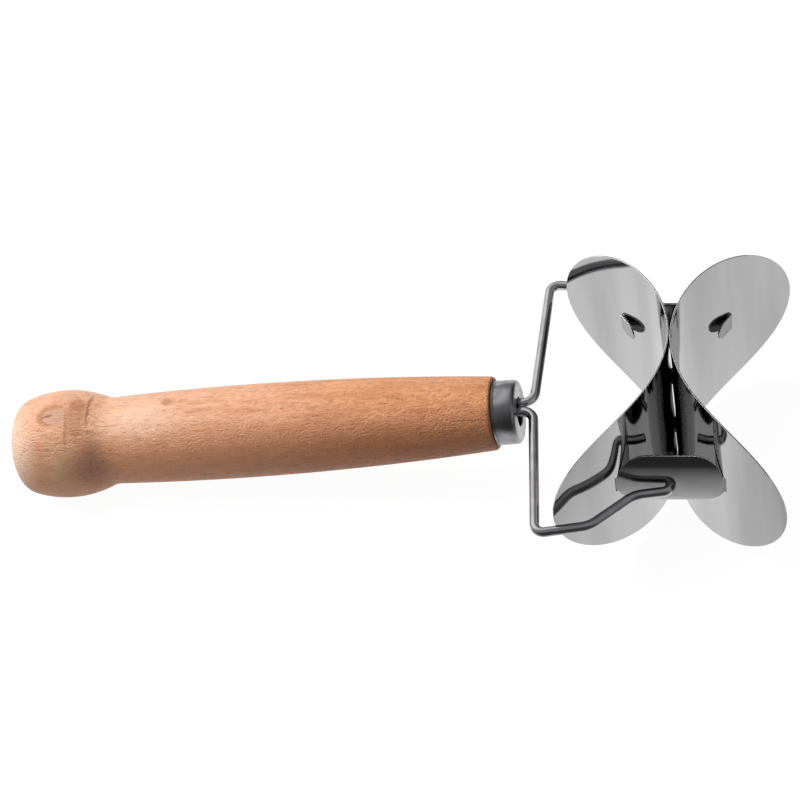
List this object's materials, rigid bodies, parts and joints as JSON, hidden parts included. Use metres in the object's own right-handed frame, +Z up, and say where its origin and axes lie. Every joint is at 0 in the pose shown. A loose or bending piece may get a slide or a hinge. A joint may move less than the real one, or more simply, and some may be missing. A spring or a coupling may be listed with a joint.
{
  "type": "dumpling wrapper roller cutter",
  "caption": "Hand roller cutter for dough: bowed steel blades set back to back turn in a sprung wire yoke on a turned wooden handle and cut round wrappers as they roll.",
  "frame": {"origin": "point on the table straight under the middle of the roller", "axes": "+Z up, +Y along the roller axis to the left side, +X forwards in the rolling direction, away from the handle"},
  "size_m": [0.1981, 0.077, 0.056],
  "materials": {
    "wood": "sanded, thin clear coat",
    "ferrule_steel": "dull drawn steel",
    "wire_steel": "bright drawn wire",
    "blade_steel": "mirror polished sheet",
    "weld_steel": "as welded"
  },
  "bodies": {
    "grip": {"handle": "wood", "ferrule": "ferrule_steel", "left_yoke_wire": "wire_steel", "right_yoke_wire": "wire_steel"},
    "roller": {"front_blade": "blade_steel", "rear_blade": "blade_steel", "left_end_plate": "blade_steel", "right_end_plate": "blade_steel", "spot_welds": "weld_steel"}
  },
  "joints": [
    {"name": "roller_spin", "type": "hinge", "parent": "grip", "child": "roller", "pos_m": [0, 0, 0.028], "axis": [0, 1, 0], "continuous": true}
  ]
}
